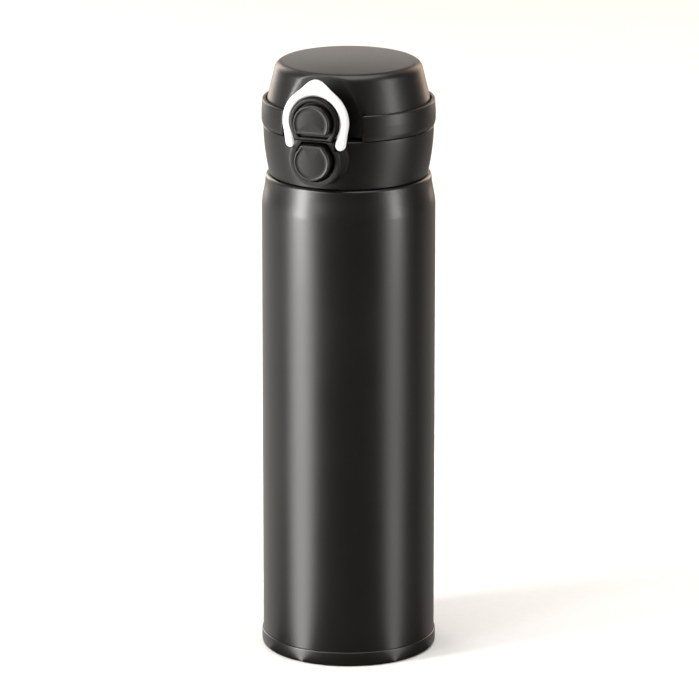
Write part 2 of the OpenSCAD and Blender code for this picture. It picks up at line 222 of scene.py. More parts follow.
def revolve(name, profile, columns=192, radius=None):
    """A closed solid turned about the axis from a closed profile of (radius, height) points.
    radius(i, r, angle) may change a point's radius; the angle is measured from the front."""
    loops = []
    for c in range(columns):
        angle = 2 * math.pi * c / columns
        loop = []
        for i, (r, z) in enumerate(profile):
            rr = radius(i, r, angle) if radius else r
            loop.append((rr * math.sin(angle), -rr * math.cos(angle), z))
        loops.append(loop)
    verts, faces = strip(loops, closed_along=True)
    return new_object(name, verts, faces)


def to_front(u, v, depth):
    """Outline drawn as width and height, section as depth in front of the axis."""
    return (u, -depth, v)


def to_side(u, v, depth):
    """Outline drawn as distance behind the axis and height, section along the hinge pin."""
    return (depth, u, v)


def pad(name, outline, section, place=to_front, dish=0, rings=6):
    """A solid over an outline. The section gives pairs of (offset, depth) from the back to the face,
    and the face sinks by dish towards its centre."""
    loops = [[place(p.x, p.y, depth) for p in offset(outline, out)] for out, depth in section]
    last, depth = offset(outline, section[-1][0]), section[-1][1]
    centre = sum(last, Vector((0, 0))) / len(last)
    for i in range(1, rings):
        s = 1 - i / rings
        loops.append([place(*(centre + (p - centre) * s), depth - dish * (1 - s * s)) for p in last])
    verts, faces = strip(loops)
    verts[-1] = place(*centre, depth - dish)
    return new_object(name, verts, faces)


def block(half, depth0, depth1, z0, z1):
    """A cutter: a box by its half width, depths and heights."""
    x, y0, y1 = half, -depth1, -depth0
    verts = [(sx * x, y, z) for z in (z0, z1) for y in (y0, y1) for sx in (-1, 1)]
    faces = [(0, 1, 3, 2), (4, 6, 7, 5), (0, 4, 5, 1), (2, 3, 7, 6), (0, 2, 6, 4), (1, 5, 7, 3)]
    return new_object("cutter", verts, faces)


def rod(radius, x0, x1, y, z, columns=48, along_z=False):
    """A cutter or a pin along the hinge pin's direction, or upright."""
    loops = []
    for x in (x0, x1):
        loop = []
        for p in arc((0, 0), radius, 0, 360 - 360 / columns, columns - 1):
            loop.append((y + p[0], z + p[1], x) if along_z else (x, y + p[0], z + p[1]))
        loops.append(loop)
    return new_object("cutter", *strip(loops, ends="face"))


def carve(obj, *cutters):
    """Takes the cutters out of the object."""
    for cutter in cutters:
        cut = obj.modifiers.new("cut", "BOOLEAN")
        cut.operation = "DIFFERENCE"
        cut.solver = "EXACT"
        cut.object = cutter
    bpy.context.view_layer.update()
    done = obj.evaluated_get(bpy.context.evaluated_depsgraph_get())
    mesh = bpy.data.meshes.new_from_object(done)
    obj.modifiers.clear()
    obj.data = mesh
    for cutter in cutters:
        bpy.data.objects.remove(cutter)
    tidy_mesh(obj)
    return obj


# ---- materials -----------------------------------------------------------------------------------

def material(name, **shader_values):
    """A node material, with the values that are the same all over set on the shader itself."""
    mat = bpy.data.materials.new(name)
    mat.use_nodes = True
    shader = mat.node_tree.nodes["Principled BSDF"]
    for key, value in shader_values.items():
        shader.inputs[key.replace("_", " ")].default_value = value
    return mat, mat.node_tree, shader


def add(tree, kind, **values):
    node = tree.nodes.new(kind)
    for key, value in values.items():
        if key in node.inputs:
            node.inputs[key].default_value = value
        elif key.replace("_", " ") in node.inputs:
            node.inputs[key.replace("_", " ")].default_value = value
        else:
            setattr(node, key, value)
    return node


def coordinates(tree, scale=(1, 1, 1)):
    """Object coordinates in metres, stretched by scale."""
    where = add(tree, "ShaderNodeTexCoord")
    mapping = add(tree, "ShaderNodeMapping", Scale=scale)
    tree.links.new(where.outputs["Object"], mapping.inputs["Vector"])
    return mapping.outputs["Vector"]


def noise(tree, vector, per_metre, detail=3, rough=0.5):
    node = add(tree, "ShaderNodeTexNoise", Scale=per_metre, Detail=detail, Roughness=rough)
    tree.links.new(vector, node.inputs["Vector"])
    return node.outputs["Fac"]


def spread(tree, value, lowest, highest, start=0.3, end=0.7):
    """Maps a noise value from start..end to lowest..highest."""
    node = add(tree, "ShaderNodeMapRange")
    for key, number in (("From Min", start), ("From Max", end), ("To Min", lowest), ("To Max", highest)):
        node.inputs[key].default_value = number
    tree.links.new(value, node.inputs["Value"])
    return node.outputs["Result"]


def tint(tree, value, dark, light):
    """A colour between dark and light."""
    ramp = add(tree, "ShaderNodeValToRGB")
    ramp.color_ramp.elements[0].position = 0.3
    ramp.color_ramp.elements[1].position = 0.7
    ramp.color_ramp.elements[0].color = (*dark, 1)
    ramp.color_ramp.elements[1].color = (*light, 1)
    tree.links.new(value, ramp.inputs["Fac"])
    return ramp.outputs["Color"]


def bump(tree, shader, heights):
    """Adds bumps to the shader's normal, each a pair of height socket and depth in metres."""
    last = None
    for height, depth in heights:
        node = add(tree, "ShaderNodeBump", Strength=1.0, Distance=depth)
        tree.links.new(height, node.inputs["Height"])
        if last:
            tree.links.new(last, node.inputs["Normal"])
        last = node.outputs["Normal"]
    tree.links.new(last, shader.inputs["Normal"])


def painted_body():
    """Satin baked paint: a faint orange peel, fine grit, and slow changes of gloss."""
    mat, tree, shader = material("painted_body", Specular_IOR_Level=0.58)
    at = coordinates(tree)
    peel = noise(tree, at, 900, 2)
    grit = noise(tree, at, 5200, 2, 0.6)
    slow = noise(tree, at, 26, 4)
    tree.links.new(tint(tree, slow, (0.0034, 0.0031, 0.0027), (0.0046, 0.0042, 0.0037)),
                   shader.inputs["Base Color"])
    tree.links.new(spread(tree, slow, 0.30, 0.34), shader.inputs["Roughness"])
    bump(tree, shader, [(peel, 0.000012), (grit, 0.000006)])
    return mat


def satin_black():
    """Moulded plastic with a fine spark-eroded grain."""
    mat, tree, shader = material("satin_black", Specular_IOR_Level=0.44)
    at = coordinates(tree)
    grain = noise(tree, at, 4200, 3, 0.65)
    flow = noise(tree, at, 60, 3)
    tree.links.new(tint(tree, flow, (0.0034, 0.0031, 0.0028), (0.0046, 0.0042, 0.0038)),
                   shader.inputs["Base Color"])
    tree.links.new(spread(tree, grain, 0.33, 0.42), shader.inputs["Roughness"])
    bump(tree, shader, [(grain, 0.000012)])
    return mat


def white_plastic():
    """Glossy white plastic with the faint unevenness of a moulding."""
    mat, tree, shader = material("white_plastic", Coat_Weight=0.25, Coat_Roughness=0.2,
                                 Subsurface_Weight=0.08, Subsurface_Scale=0.0015)
    at = coordinates(tree)
    flow = noise(tree, at, 220, 3)
    fine = noise(tree, at, 2600, 2)
    tree.links.new(tint(tree, flow, (0.70, 0.695, 0.685), (0.74, 0.735, 0.725)), shader.inputs["Base Color"])
    tree.links.new(spread(tree, flow, 0.30, 0.38), shader.inputs["Roughness"])
    bump(tree, shader, [(fine, 0.000006)])
    return mat


def inner_plastic():
    """Food-grade dark grey plastic, a little lighter and duller than the outside."""
    mat, tree, shader = material("inner_plastic", Specular_IOR_Level=0.4)
    at = coordinates(tree)
    grain = noise(tree, at, 2600, 3, 0.6)
    flow = noise(tree, at, 90, 3)
    tree.links.new(tint(tree, flow, (0.030, 0.030, 0.031), (0.038, 0.038, 0.040)),
                   shader.inputs["Base Color"])
    tree.links.new(spread(tree, grain, 0.44, 0.56), shader.inputs["Roughness"])
    bump(tree, shader, [(grain, 0.000015)])
    return mat


def silicone():
    """Milky silicone rubber."""
    mat, tree, shader = material("silicone", Subsurface_Weight=0.35, Subsurface_Scale=0.002,
                                 Specular_IOR_Level=0.35)
    at = coordinates(tree)
    bloom = noise(tree, at, 160, 4)
    fine = noise(tree, at, 1800, 3)
    tree.links.new(tint(tree, bloom, (0.60, 0.60, 0.575), (0.70, 0.70, 0.675)), shader.inputs["Base Color"])
    tree.links.new(spread(tree, bloom, 0.46, 0.62), shader.inputs["Roughness"])
    bump(tree, shader, [(fine, 0.00002)])
    return mat


def steel(name, dark, light, rough, stretch, depth):
    """Steel with fine lines: stretch is how the noise is scaled along x, y and z."""
    mat, tree, shader = material(name, Metallic=1.0)
    lines = noise(tree, coordinates(tree, stretch), 1, 4, 0.6)
    smudge = noise(tree, coordinates(tree), 70, 4)
    tree.links.new(tint(tree, smudge, dark, light), shader.inputs["Base Color"])
    tree.links.new(spread(tree, lines, *rough), shader.inputs["Roughness"])
    bump(tree, shader, [(lines, depth)])
    return mat


MATERIALS = {
    "painted_body": painted_body(),
    "satin_black": satin_black(),
    "white_plastic": white_plastic(),
    "inner_plastic": inner_plastic(),
    "silicone": silicone(),
    "bare_steel": steel("bare_steel", (0.55, 0.54, 0.52), (0.64, 0.63, 0.61), (0.24, 0.38),
                        (300, 300, 9000), 0.00001),
    "pin_steel": steel("pin_steel", (0.60, 0.60, 0.61), (0.70, 0.70, 0.71), (0.16, 0.28),
                       (9000, 400, 400), 0.000004),
    "dull_steel": steel("dull_steel", (0.26, 0.26, 0.27), (0.38, 0.38, 0.39), (0.45, 0.65),
                        (1500, 1500, 1500), 0.00003),
    "solder": steel("solder", (0.42, 0.40, 0.36), (0.55, 0.53, 0.48), (0.35, 0.55),
                    (900, 900, 900), 0.00004),
}

for part in frame["record"]["subparts"]:
    node = frame["nodes"].get(part["node"])
    for place in node.material_slots:
        place.material = MATERIALS[part["material_slot"]]
    node.data.set_sharp_from_angle(angle=math.radians(30))


def dress(obj, body, finish, *nodes):
    """Gives a piece its material and body, and the CAD nodes that it stands for."""
    obj.data.materials.clear()
    obj.data.materials.append(MATERIALS[finish])
    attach(obj, body)
    if nodes:
        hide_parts(*nodes)
    return obj


# ---- bottle --------------------------------------------------------------------------------------

def ease(t):
    return (1 - math.cos(math.pi * t)) / 2


SHELL_WALL = 0.6
SHOULDER_IN, SHOULDER_H, SHOULDER_EDGE = 1.5, 11.7, 1.2
SEAT_Z = 2.6
shoulder_r = BODY_R - SHOULDER_IN

shoulder = []
for i in range(17):
    t = i / 16
    shoulder.append((BODY_R - SHOULDER_IN * (0.35 * t + 0.65 * ease(t)),
                     BODY_TOP - SHOULDER_H + (SHOULDER_H - SHOULDER_EDGE) * t))
body_profile = (
    [(BODY_R, SEAT_Z), (BODY_R, 40), (BODY_R, 90), (BODY_R, 140)]
    + shoulder
    + arc((shoulder_r - SHOULDER_EDGE, BODY_TOP - SHOULDER_EDGE), SHOULDER_EDGE, 12, 90, 8)
    + [(NECK_R + 1.2, BODY_TOP), (NECK_R + 1.2, BODY_TOP - SHELL_WALL),
       (shoulder_r - 2, BODY_TOP - SHELL_WALL), (BODY_R - 2.5, BODY_TOP - SHOULDER_H),
       (BODY_R - SHELL_WALL, BODY_TOP - SHOULDER_H - 2), (BODY_R - SHELL_WALL, SEAT_Z)])
dress(revolve("bottle_body", body_profile, 256), "bottle", "painted_body", "outer_shell")

neck_profile = fillet([
    (NECK_R + 1.2, BODY_TOP), (NECK_R, BODY_TOP, 1.0), (NECK_R, MOUTH_Z, 0.5),
    (NECK_R - SHELL_WALL, MOUTH_Z), (NECK_R - SHELL_WALL, BODY_TOP - SHELL_WALL),
    (NECK_R + 1.2, BODY_TOP - SHELL_WALL)])
dress(revolve("bottle_neck", neck_profile), "bottle", "bare_steel")

THREAD_Z = BODY_TOP + 5.3
THREAD_TURN, THREAD_LEAD, THREAD_H = 450, 6, 1.3
thread_section = fillet([(-0.2, -1.2), (0, -1.15, 0.3), (THREAD_H, -0.5, 0.35), (THREAD_H, 0.5, 0.35),
                         (0, 1.15, 0.3), (-0.2, 1.2)], closed=False, steps=3)
thread_loops = []
thread_steps = 150
for i in range(thread_steps + 1):
    turn = math.radians(THREAD_TURN * i / thread_steps)
    grow = min(1, min(i, thread_steps - i) / 10)
    thread_loops.append([((NECK_R + u * grow) * math.cos(turn), (NECK_R + u * grow) * math.sin(turn),
                          THREAD_Z + v * (0.4 + 0.6 * grow) + THREAD_LEAD * turn / (2 * math.pi))
                         for u, v in thread_section])
dress(new_object("neck_thread", *strip(thread_loops, ends="face")), "bottle", "bare_steel")

foot_profile = fillet([
    (0, 0), (17, 0, 0.25), (17.3, 0.4, 0.15), (18.7, 0.4, 0.15), (19, 0, 0.25),
    (FOOT_R, 0, 1.5), (FOOT_R, FOOT_H - 0.5), (FOOT_R - 0.07, FOOT_H - 0.25), (FOOT_R - 0.25, FOOT_H - 0.07),
    (BODY_R + 0.02, FOOT_H, 0.1), (BODY_R + 0.02, SEAT_Z),
    (BODY_R - 1.2, SEAT_Z), (BODY_R - 1.2, 1.6), (0, 1.6)])
dress(revolve("foot_ring", foot_profile, 256), "bottle", "painted_body", "base_cap")


# ---- collar and its latch housing ----------------------------------------------------------------

COLLAR_R, COLLAR_FLARE, COLLAR_WALL = BODY_R - 0.65, 2.1, 2.2
SKIRT_R = NECK_R + 4.2


def collar_radius(t):
    return COLLAR_R - COLLAR_FLARE * (1 - t) ** 1.8


collar_side = [(collar_radius(i / 20), COLLAR_BOTTOM + 0.45 + (COLLAR_TOP - COLLAR_BOTTOM - 0.9) * i / 20)
               for i in range(21)]
first, last = collar_side[0], collar_side[-1]
collar_profile = (
    [(first[0] - COLLAR_WALL, COLLAR_BOTTOM), (first[0] - 0.45, COLLAR_BOTTOM)]
    + arc((first[0] - 0.45, first[1]), 0.45, -75, -15, 4)
    + collar_side
    + arc((last[0] - 0.45, last[1]), 0.45, 15, 90, 5)
    + fillet([(last[0] - 0.5, COLLAR_TOP), (SKIRT_R, COLLAR_TOP, 0.3), (SKIRT_R, COLLAR_TOP - 2.4),
              (first[0] - COLLAR_WALL, COLLAR_TOP - 4.4)], closed=False))
collar = revolve("collar_wall", collar_profile, 256)
carve(collar, rod(KNUCKLE_ROOM, -6.85, 6.85, HINGE_Y, HINGE_Z))
dress(collar, "stopper", "satin_black", "collar")



def knuckle(name, body, x0, x1, outline):
    """A hinge knuckle and its arm, on both sides, with its edges broken."""
    line = resample(outline, 96)
    for side, mark in ((-1, "left"), (1, "right")):
        section = [(-0.3, x0), (-0.09, x0 + 0.09), (0, x0 + 0.3),
                   (0, x1 - 0.3), (-0.09, x1 - 0.09), (-0.3, x1)]
        piece = pad(f"{name}_{mark}", line, [(out, side * x) for out, x in section], place=to_side)
        dress(piece, body, "satin_black")


knuckle("collar_knuckle", "stopper", *COLLAR_KNUCKLE, fillet(
    [(HINGE_Y - 3.4, HINGE_Z - 7), (HINGE_Y - 3.4, HINGE_Z - 0.4)]
    + arc((HINGE_Y, HINGE_Z), KNUCKLE_R, 175, -45, 24)))
knuckle("lid_knuckle", "lid", *LID_KNUCKLE, fillet(
    [(HINGE_Y - 2.8, HINGE_Z + 8), (HINGE_Y - 0.8, HINGE_Z + 8, 0.8)]
    + arc((HINGE_Y, HINGE_Z), KNUCKLE_R, 30, -200, 26)))

lip_section = fillet([(BODY_R - 5.5, COLLAR_TOP - 0.3), (BODY_R - 5.4, PART_Z + 1.3, 0.35),
                      (BODY_R - 4.8, PART_Z + 1.3, 0.35), (BODY_R - 4.7, COLLAR_TOP - 0.3)], steps=4)
lip_loops = []
for i in range(97):
    angle = math.radians(100 + 160 * i / 96)
    shrink = min(1, 0.25 + min(i, 96 - i) / 4)
    lip_loops.append([(r * math.sin(angle), -r * math.cos(angle),
                       COLLAR_TOP - 0.3 + (z - COLLAR_TOP + 0.3) * shrink) for r, z in lip_section])
dress(new_object("spray_lip", *strip(lip_loops, ends="face")), "stopper", "satin_black")


SLANT = math.radians(34)


def keystone(radius, z, top, corner=0.9, count=160):
    """A circle whose top runs up in two slants to a flat, clockwise from the middle of the top."""
    tangent = (radius * math.cos(SLANT), z + radius * math.sin(SLANT))
    half = tangent[0] - (top - tangent[1]) * math.tan(SLANT)
    flat = fillet([(-tangent[0], tangent[1]), (-half, top, corner), (half, top, corner), tangent],
                  closed=False)
    bottom = arc((0, z), radius, 34, -214, 60)
    middle_top = len(flat) // 2
    return resample([(0, top)] + flat[middle_top:] + bottom[1:-1] + flat[:middle_top], count)


def cut_disc(radius, z, bottom, corner=0.6, count=160):
    """A circle with its bottom cut off flat, clockwise from the top."""
    drop = math.degrees(math.asin((z - bottom) / radius))
    half = radius * math.cos(math.radians(drop))
    right = arc((0, z), radius, 90, -drop + 4, 30)
    left = arc((0, z), radius, 180 + drop - 4, 90, 30)
    low_line = fillet([right[-1], (half, bottom, corner), (-half, bottom, corner), left[0]], closed=False)
    return resample(right + low_line[1:-1] + left[:-1], count)


def straight_sided(radius, z, half, top, corner=0.5, count=160):
    """A circle below, straight sides above up to a flat top, clockwise from the middle of the top."""
    side_z = z + math.sqrt(radius * radius - half * half)
    top_right = fillet([(0, top), (half, top, corner), (half, side_z, 1.5),
                        (radius * math.cos(math.radians(20)), z + radius * math.sin(math.radians(20)))],
                       closed=False)
    bottom = arc((0, z), radius, 20, -200, 56)
    top_left = [(-x, y) for x, y in reversed(top_right)]
    return resample(top_right + bottom[1:-1] + top_left[:-1], count)


def boss_outline(bottom, count=160):
    """A circle with a skirt that narrows to a flat bottom, clockwise from the top."""
    lean = math.radians(23.5)
    tangent = (BOSS_R * math.cos(lean), BOSS_Z - BOSS_R * math.sin(lean))
    half = tangent[0] - (tangent[1] - bottom) * math.tan(lean)
    right = arc((0, BOSS_Z), BOSS_R, 90, -23.5, 30)
    low_line = fillet([right[-1], (half, bottom, 0.5), (-half, bottom, 0.5), (-right[-1][0], right[-1][1])],
                      closed=False)
    left = [(-x, y) for x, y in reversed(right)]
    return resample(right + low_line[1:-1] + left[:-1], count)


def pocketed(name, outer, inner, back, face, floor, flank=0.0, edge=0.5, lip=0.3):
    """A solid with a rounded front edge and a pocket sunk into its face."""
    loops = []
    for out, depth in [(flank, back), (flank * 0.55, back + 2.6), (flank * 0.2, back + 4.6),
                       (0, face - edge)]:
        loops.append((outer, out, depth))
    loops += [(outer, -edge + edge * math.cos(a), face - edge + edge * math.sin(a))
              for a in (math.pi / 12 * k for k in range(1, 7))]
    loops += [(inner, lip - lip * math.sin(a), face - lip + lip * math.cos(a))
              for a in (math.pi / 10 * k for k in range(0, 6))]
    loops += [(inner, 0, floor + 0.4), (inner, -0.4, floor)]
    placed = [[to_front(p.x, p.y, depth) for p in offset(line, out)] for line, out, depth in loops]
    return new_object(name, *strip(placed))


def rimmed_face(back, front):
    """Section of a button: a rounded rim with a fine step inside it, around a crowned face."""
    steps = [(0, 1.0), (-0.03, 0.6), (-0.14, 0.3), (-0.33, 0.1), (-0.55, 0), (-0.75, 0.02),
             (-0.95, 0.12), (-1.15, 0.17)]
    return [(0, back)] + [(out, front - sunk) for out, sunk in steps]


WEB_Z = PART_Z - 0.4
PASSAGE_R, FLANGE_R, SPOUT_R = 17.2, 22, 13.2
SPOUT_FLOOR, SPOUT_TOP = PART_Z + 2.2, PART_Z + 10
spout_profile = fillet([
    (0, SPOUT_FLOOR), (10, SPOUT_FLOOR), (PASSAGE_R - 2, WEB_Z), (PASSAGE_R - 2, WEB_Z - 4, 0.3),
    (PASSAGE_R - 0.3, WEB_Z - 4, 0.3), (PASSAGE_R - 0.3, WEB_Z - 2.6), (PASSAGE_R - 1, WEB_Z - 2.6),
    (PASSAGE_R - 1, WEB_Z - 1), (PASSAGE_R - 0.3, WEB_Z - 1), (PASSAGE_R - 0.3, WEB_Z), (FLANGE_R, WEB_Z),
    (FLANGE_R, WEB_Z + 1.6, 0.8), (SPOUT_R + 0.2, WEB_Z + 1.6, 2.8), (SPOUT_R, SPOUT_TOP, 0.9),
    (SPOUT_R - 1.8, SPOUT_TOP, 0.9), (SPOUT_R - 1.8, SPOUT_FLOOR + 2, 1.6), (9, SPOUT_FLOOR + 1.6),
    (0, SPOUT_FLOOR + 1.6)])
spout = revolve("drinking_spout", spout_profile)
carve(spout, rod(5.5, SPOUT_FLOOR - 3, SPOUT_FLOOR + 5, 0, -3.5, along_z=True),
      rod(1.6, SPOUT_FLOOR - 3, SPOUT_FLOOR + 5, 0, 7, along_z=True))
dress(spout, "stopper", "inner_plastic", "spout")

POCKET_FLOOR = 31.95
RIB_BACK = HOUSING_FRONT - 3.2
RING_GAP = 0.3


def peg(radius, x, z, depth0, depth1, columns=48):
    """A cutter that runs front to back."""
    circle = arc((x, z), radius, 0, 360 - 360 / columns, columns - 1)
    return new_object("cutter", *strip([[to_front(u, v, d) for u, v in circle] for d in (depth0, depth1)],
                                       ends="face"))


def ring_swing():
    """Cutters for the room that the lock ring's feet turn in."""
    cutters = []
    for side in (-1, 1):
        near, far = sorted((side * (HOUSING_HALF + 0.2), side * 12.9))
        cutters.append(rod(5.3, near, far, -RING_PIVOT[0], RING_PIVOT[1]))
        cutters.append(peg(RING_FOOT_R + RING_GAP, side * RING_FOOT[0], RING_FOOT[1],
                           RING_BACK - RING_GAP, HOUSING_FRONT + 1))
    return cutters


housing = pocketed(
    "latch_housing", straight_sided(HOUSING_R, BUTTON_Z, HOUSING_HALF, RIB_Z - 0.05),
    keystone(BUTTON_R + LATCH_GAP, BUTTON_Z, PART_Z + 0.7), BODY_R - 4, HOUSING_FRONT, POCKET_FLOOR,
    flank=1.0)
carve(housing,
      block(4.6, BODY_R - 2.9, HOUSING_FRONT - 2.2, PART_Z - 3, PART_Z + 2),
      block(30, BODY_R - 6, RIB_BACK, COLLAR_TOP, COLLAR_TOP + 5),
      *ring_swing(),
      block(30, BODY_R - 6, HOUSING_FRONT + 1, COLLAR_BOTTOM - 6, COLLAR_BOTTOM + 0.3))
dress(housing, "stopper", "satin_black")

button = keystone(BUTTON_R, BUTTON_Z, PART_Z + 0.2)
BUTTON_BACK = -middle("latch_pin").y + 1.5
dress(pad("push_button", button, rimmed_face(BUTTON_BACK, BUTTON_FRONT), dish=-0.25),
      "latch", "satin_black", "release_button")


# ---- lid -----------------------------------------------------------------------------------------

DOME_R, DOME_WALL, DOME_CORNER, DOME_SLOPE, DOME_CROWN = BODY_R - 2.15, 1.8, 3.6, 0.28, 0.7
lean = math.degrees(math.atan(DOME_SLOPE))
corner_z = LID_TOP - DOME_CROWN - DOME_CORNER
corner_r = (DOME_R - DOME_SLOPE * (corner_z + DOME_CORNER * math.sin(math.radians(lean)) - LID_Z - 11.4)
            - DOME_CORNER * math.cos(math.radians(lean)))


def dome_side(wall):
    """The dome's side, corner and top, moved inwards by the wall."""
    corner = arc((corner_r, corner_z), DOME_CORNER - wall, lean, 90, 12)
    foot = DOME_R - 0.35 - wall
    start = (DOME_R + 0.15 - wall, BAND_TOP - 0.7)
    line = [(foot, LID_Z + 0.9), (foot, BAND_TOP - 4), (foot, BAND_TOP - 1.4), start]
    line += [tuple(Vector(start).lerp(Vector(corner[0]), t)) for t in (0.2, 0.4, 0.6, 0.8)]
    line += corner
    top = corner[-1][1]
    line += [(corner_r * (1 - t), top + DOME_CROWN * (1 - (1 - t) ** 2))
             for t in (0.15, 0.3, 0.5, 0.7, 0.85, 1)]
    return line


dome_out, dome_in = dome_side(0), dome_side(DOME_WALL)
dome_profile = dome_out + list(reversed(dome_in))
FLAT_EDGE = 0.18


def flattened(i, r, angle):
    """Keeps the dome behind its flat front, with a soft edge where they meet."""
    face = FLAT_DEPTH if i < len(dome_out) else FLAT_DEPTH - 1.6
    if math.cos(angle) < 0.2 or r < 1:
        return r
    flat = face / math.cos(angle)
    return (r + flat - math.sqrt((r - flat) ** 2 + FLAT_EDGE ** 2)) / 2 + (0.012 if r < 24 else 0)


def dome_columns():
    """Angles from the front, closer together across the flat."""
    near = [math.radians(0.6 * k) for k in range(-66, 67)]
    far = [math.radians(39.6 + 280.8 * k / 128) for k in range(1, 128)]
    return near + far


def revolve_at(name, profile, angles, radius):
    loops = [[(radius(i, r, a) * math.sin(a), -radius(i, r, a) * math.cos(a), z)
              for i, (r, z) in enumerate(profile)] for a in angles]
    return new_object(name, *strip(loops, closed_along=True))


dome = revolve_at("lid_cover", dome_profile, dome_columns(), flattened)
carve(dome, rod(KNUCKLE_ROOM, -10.4, 10.4, HINGE_Y, HINGE_Z))
dress(dome, "lid", "satin_black", "lid_dome")

band_section = fillet([
    (BODY_R - 2.5, LID_Z, 0.2), (BODY_R - 0.45, LID_Z, 0.5), (BODY_R, LID_Z + 1.6, 2.5),
    (BODY_R, LID_Z + 5.4, 3),
    (BODY_R - 0.3, BAND_TOP, 0.75), (BODY_R - 1.65, BAND_TOP, 0.45), (BODY_R - 1.7, BAND_TOP - 1.4),
    (BODY_R - 2.5, BAND_TOP - 1.4, 0.1)], steps=6)
band_middle = sum((Vector(p) for p in band_section), Vector((0, 0))) / len(band_section)
BAND_END = 0.35


def band_loop(t, inset=0.0, back=0.0):
    """The band's section at a share t of the way round, from one end of the recess to the other."""
    loop = []
    for r, z in band_section:
        p = Vector((r, z))
        p += (band_middle - p).normalized() * inset
        start = math.asin((RECESS_HALF + back) / p.x)
        a = start + (2 * math.pi - 2 * start) * t
        loop.append((p.x * math.sin(a), -p.x * math.cos(a), p.y))
    return loop


rounding = [(BAND_END * (1 - math.sin(a)), BAND_END * (1 - math.cos(a))) for a in
            (math.pi / 8 * k for k in range(5))]
band_loops = [band_loop(0, inset, back) for inset, back in rounding]
band_loops += [band_loop(k / 200, 0, BAND_END) for k in range(1, 200)]
band_loops += [band_loop(1, inset, back) for inset, back in reversed(rounding)]
band = new_object("lid_collar_band", *strip(band_loops, ends="face"))
carve(band, *(rod(KNUCKLE_ROOM, start, end, HINGE_Y, HINGE_Z)
              for start, end in ((6.85, 10.4), (-10.4, -6.85), (-3.8, 3.8))))
dress(band, "lid", "satin_black", "lid_band")

CAP_BACK = BOSS_FRONT - 1.4
boss = pocketed("catch_boss", boss_outline(BOSS_BOTTOM), cut_disc(CAP_R + LATCH_GAP, CAP_Z, RIB_Z + 1.1),
                RING_BACK - 0.2, BOSS_FRONT, CAP_BACK, edge=0.45, lip=0.25)
dress(boss, "lid", "satin_black", "catch_housing")
NECK_HALF = 7.3
neck_outline = resample(fillet([
    (-NECK_HALF, BOSS_Z + 6), (-5, BOSS_Z + 8.2, 2), (5, BOSS_Z + 8.2, 2), (NECK_HALF, BOSS_Z + 6, 1),
    (NECK_HALF, LID_Z, 0.4), (-NECK_HALF, LID_Z, 0.4)]), 96)
boss_neck = pad("catch_boss_back", neck_outline, [(0, FLAT_DEPTH - 0.3), (0, RING_BACK)])
HOOK_SLOT = 5.2
for piece in (boss, boss_neck):
    carve(piece, block(HOOK_SLOT, FLAT_DEPTH + 4.9, HOUSING_FRONT - 2.3, LID_Z - 1, PART_Z + 6.3),
          block(HOOK_SLOT, FLAT_DEPTH + 1.9, FLAT_DEPTH + 5, PART_Z + 2.9, PART_Z + 6.3))
dress(boss_neck, "lid", "satin_black")

cap = cut_disc(CAP_R, CAP_Z, RIB_Z + 2.9)
dress(pad("catch_disc", cap, rimmed_face(CAP_BACK, CAP_FRONT), dish=-0.25),
      "lid", "satin_black", "catch_cap")


LINER_Z = LID_Z + 11.5
liner_profile = fillet([
    (0, LINER_Z), (15.6, LINER_Z), (15.6, SPOUT_TOP + 0.3, 0.25), (16.8, SPOUT_TOP + 0.3, 0.25),
    (16.8, LINER_Z, 0.5), (23, LINER_Z, 0.9), (23, LID_Z + 1.4, 0.3), (24.2, LID_Z + 1.4, 0.3),
    (24.2, LINER_Z + 1.5, 0.9), (0, LINER_Z + 1.5)])
dress(revolve("lid_lining", liner_profile), "lid", "inner_plastic", "lid_liner")
seal_profile = fillet([
    (0, LINER_Z), (15.5, LINER_Z), (15.5, SPOUT_TOP + 0.15, 0.6), (SPOUT_R - 2.9, SPOUT_TOP + 0.15, 0.4),
    (SPOUT_R - 3.4, SPOUT_TOP + 0.6, 0.4), (0, SPOUT_TOP + 0.6)])
dress(revolve("lid_seal", seal_profile), "lid", "silicone", "lid_gasket")


# ---- lock ring -----------------------------------------------------------------------------------

def ring_edges():
    """Pairs of inner and outer points from the left foot, over the top, to the right foot."""
    fx, fz = RING_FOOT
    foot = []
    for k in range(1, 9):
        a = math.radians(-90 + 11.25 * k)
        foot.append(((fx - RING_FOOT_R * math.cos(a), fz + RING_FOOT_R * math.sin(a)),
                     (fx + RING_FOOT_R * math.cos(a), fz + RING_FOOT_R * math.sin(a))))
    inner = [(fx - RING_FOOT_R, fz)] + arc((0, RING_Z), RING_IN, -28, 90, 40)
    outer = [(fx + RING_FOOT_R, fz)]
    for k in range(53):
        degrees = -14 + 2 * k
        radius = RING_BOW + RING_TAB_H * math.exp(-((90 - degrees) / RING_TAB_SPREAD) ** 2)
        a = math.radians(degrees)
        outer.append((radius * math.cos(a), RING_Z + radius * math.sin(a)))
    return foot, inner, outer


def even(line, count):
    """An open line as count points at equal spacing."""
    points = [Vector(p) for p in line]
    runs = [0.0]
    for a, b in zip(points, points[1:]):
        runs.append(runs[-1] + (b - a).length)
    out, k = [], 0
    for i in range(count):
        at = runs[-1] * i / (count - 1)
        while k < len(runs) - 2 and runs[k + 1] < at:
            k += 1
        out.append(points[k].lerp(points[k + 1], (at - runs[k]) / max(runs[k + 1] - runs[k], 1e-9)))
    return out


